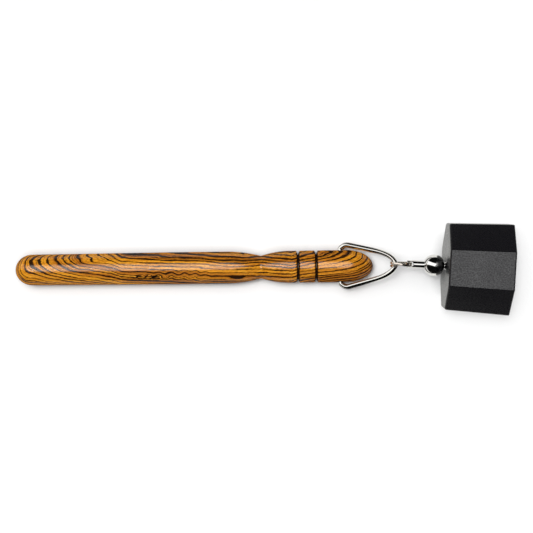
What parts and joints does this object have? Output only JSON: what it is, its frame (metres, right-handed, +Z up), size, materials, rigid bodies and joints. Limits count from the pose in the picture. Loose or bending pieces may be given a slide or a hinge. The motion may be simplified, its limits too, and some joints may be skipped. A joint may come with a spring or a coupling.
{
  "type": "pocket cue-chalk holder",
  "caption": "Turned striped-wood pocket stick with a chrome wire bail, split ring and ball swivel carrying a black octagonal cup that holds a cube of cue chalk.",
  "frame": {"origin": "middle of the holder's footprint on the surface that it lies on, with the cup on one flat", "axes": "+X along the stick from its butt to the cup, +Z up, +Y across the stick"},
  "size_m": [0.1926, 0.035, 0.0344],
  "materials": {
    "striped_wood": "glossy clear finish over boldly striped hardwood",
    "chrome_wire": "polished chrome plate",
    "nickel_ring": "bright nickel plate",
    "chrome_swivel": "polished chrome plate",
    "black_cup": "satin, finely textured moulded black",
    "zinc_fastener": "bright zinc plate"
  },
  "bodies": {
    "handle": {"handle": "striped_wood"},
    "bail": {"bail": "chrome_wire"},
    "split_ring": {"split_ring": "nickel_ring"},
    "swivel_stem": {"swivel_stem": "chrome_swivel"},
    "cup": {"swivel_ball": "chrome_swivel", "swivel_stud": "chrome_swivel", "chalk_cup": "black_cup", "cup_washer": "zinc_fastener", "cup_nut": "zinc_fastener"}
  },
  "joints": [
    {"name": "bail_swing", "type": "hinge", "parent": "handle", "child": "bail", "pos_m": [0.03081, 0.00106, 0.00623], "axis": [0, 0.9945, -0.1045], "range_deg": [-74, 126]},
    {"name": "ring_swing", "type": "hinge", "parent": "bail", "child": "split_ring", "pos_m": [0.05134, 0.00207, 0.01586], "axis": [0, 1, 0], "range_deg": [-96, 44]},
    {"name": "eye_turn", "type": "hinge", "parent": "split_ring", "child": "swivel_stem", "pos_m": [0.05739, 0.00207, 0.01586], "axis": [0, 0, 1], "range_deg": [-90, 90]},
    {"name": "swivel_spin", "type": "hinge", "parent": "swivel_stem", "child": "cup", "pos_m": [0.05739, 0.00207, 0.01586], "axis": [0.9972, -0.0645, 0.0367], "continuous": true}
  ]
}
